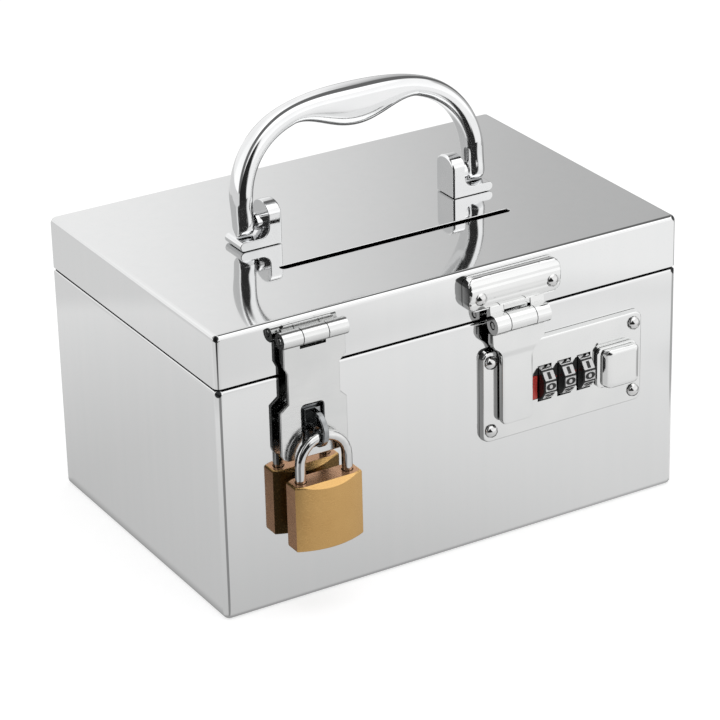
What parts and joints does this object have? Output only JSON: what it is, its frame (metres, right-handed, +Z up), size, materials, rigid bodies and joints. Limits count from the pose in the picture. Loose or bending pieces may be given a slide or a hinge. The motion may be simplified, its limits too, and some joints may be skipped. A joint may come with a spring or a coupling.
{
  "type": "lock box",
  "caption": "Polished steel lock box with a drop slot in the lid, a folding handle, a hasp with a padlock and a latch with a dial lock.",
  "frame": {"origin": "middle of the underside of the box, on the surface it stands on", "axes": "+Z up, +X to the right as seen from the front, -Y out of the front with the hasp and the latch"},
  "size_m": [0.21, 0.161, 0.1755],
  "materials": {
    "polished_steel": "mirror polished stainless sheet",
    "chromed_casting": "bright nickel plating on a casting",
    "pin_steel": "bright drawn steel",
    "brass": "satin",
    "black_dial": "black with white number faces",
    "red_insert": "satin",
    "inner_steel": "plain"
  },
  "bodies": {
    "box": {"box_body": "polished_steel", "box_rim": "polished_steel", "hinge_body_leaf_left": "polished_steel", "hinge_body_leaf_right": "polished_steel", "hinge_pin_left": "pin_steel", "hinge_pin_right": "pin_steel", "hinge_rivet_body_left_1": "pin_steel", "hinge_rivet_body_left_2": "pin_steel", "hinge_rivet_body_right_1": "pin_steel", "hinge_rivet_body_right_2": "pin_steel", "staple_base_plate": "polished_steel", "staple_rivet_1": "pin_steel", "staple_rivet_2": "pin_steel", "lock_case": "chromed_casting", "lock_rivet_1": "chromed_casting", "lock_rivet_2": "chromed_casting", "lock_rivet_3": "chromed_casting", "lock_rivet_4": "chromed_casting", "index_strip": "red_insert", "dial_axle": "inner_steel", "return_spring": "inner_steel", "lock_back_cover": "inner_steel"},
    "lid": {"lid_shell": "polished_steel", "hinge_lid_leaf_left": "polished_steel", "hinge_lid_leaf_right": "polished_steel", "hinge_rivet_lid_left_1": "pin_steel", "hinge_rivet_lid_left_2": "pin_steel", "hinge_rivet_lid_right_1": "pin_steel", "hinge_rivet_lid_right_2": "pin_steel", "handle_bracket_left": "chromed_casting", "handle_bracket_right": "chromed_casting", "handle_pin_left": "pin_steel", "handle_pin_right": "pin_steel", "hasp_lid_leaf": "polished_steel", "hasp_pin": "pin_steel", "hasp_rivet_1": "pin_steel", "hasp_rivet_2": "pin_steel", "latch_lid_plate": "chromed_casting", "latch_pin": "pin_steel", "latch_rivet_1": "chromed_casting", "latch_rivet_2": "chromed_casting"},
    "handle": {"handle_grip": "chromed_casting"},
    "hasp": {"hasp_arm": "polished_steel", "staple_eye": "chromed_casting"},
    "shackle": {"padlock_shackle": "pin_steel"},
    "padlock": {"padlock_body": "brass"},
    "plug": {"padlock_plug": "brass"},
    "latch": {"latch_arm": "chromed_casting"},
    "button": {"slide_button": "chromed_casting", "lock_catch": "inner_steel"},
    "first_dial": {"dial_1": "black_dial"},
    "second_dial": {"dial_2": "black_dial"},
    "third_dial": {"dial_3": "black_dial"}
  },
  "joints": [
    {"name": "lid_hinge", "type": "hinge", "parent": "box", "child": "lid", "pos_m": [0, 0.0728, 0.098], "axis": [-1, 0, 0], "range_deg": [0, 105]},
    {"name": "handle_fold", "type": "hinge", "parent": "lid", "child": "handle", "pos_m": [0, 0, 0.1289], "axis": [-1, 0, 0], "range_deg": [-94, 81]},
    {"name": "hasp_hinge", "type": "hinge", "parent": "lid", "child": "hasp", "pos_m": [-0.0658, -0.0747, 0.1138], "axis": [-1, 0, 0], "range_deg": [0, 180]},
    {"name": "padlock_swing", "type": "hinge", "parent": "hasp", "child": "shackle", "pos_m": [-0.065, -0.0786, 0.0726], "axis": [-1, 0, 0], "range_deg": [0, 80]},
    {"name": "padlock_body_drop", "type": "slide", "parent": "shackle", "child": "padlock", "axis": [0, 0, -1], "range_m": [0, 0.008]},
    {"name": "padlock_key_turn", "type": "hinge", "parent": "padlock", "child": "plug", "pos_m": [-0.065, -0.0786, 0.028], "axis": [0, 0, 1], "range_deg": [0, 90]},
    {"name": "latch_hinge", "type": "hinge", "parent": "lid", "child": "latch", "pos_m": [0.0253, -0.0766, 0.0976], "axis": [-1, 0, 0], "range_deg": [0, 170]},
    {"name": "button_slide", "type": "slide", "parent": "box", "child": "button", "axis": [1, 0, 0], "range_m": [0, 0.0032], "stiffness_N_per_m": 400, "springref_m": -0.002},
    {"name": "dial_1_turn", "type": "hinge", "parent": "box", "child": "first_dial", "pos_m": [0.0397, -0.0702, 0.0647], "axis": [1, 0, 0], "continuous": true},
    {"name": "dial_2_turn", "type": "hinge", "parent": "box", "child": "second_dial", "pos_m": [0.049, -0.0702, 0.0647], "axis": [1, 0, 0], "continuous": true},
    {"name": "dial_3_turn", "type": "hinge", "parent": "box", "child": "third_dial", "pos_m": [0.0583, -0.0702, 0.0647], "axis": [1, 0, 0], "continuous": true}
  ]
}
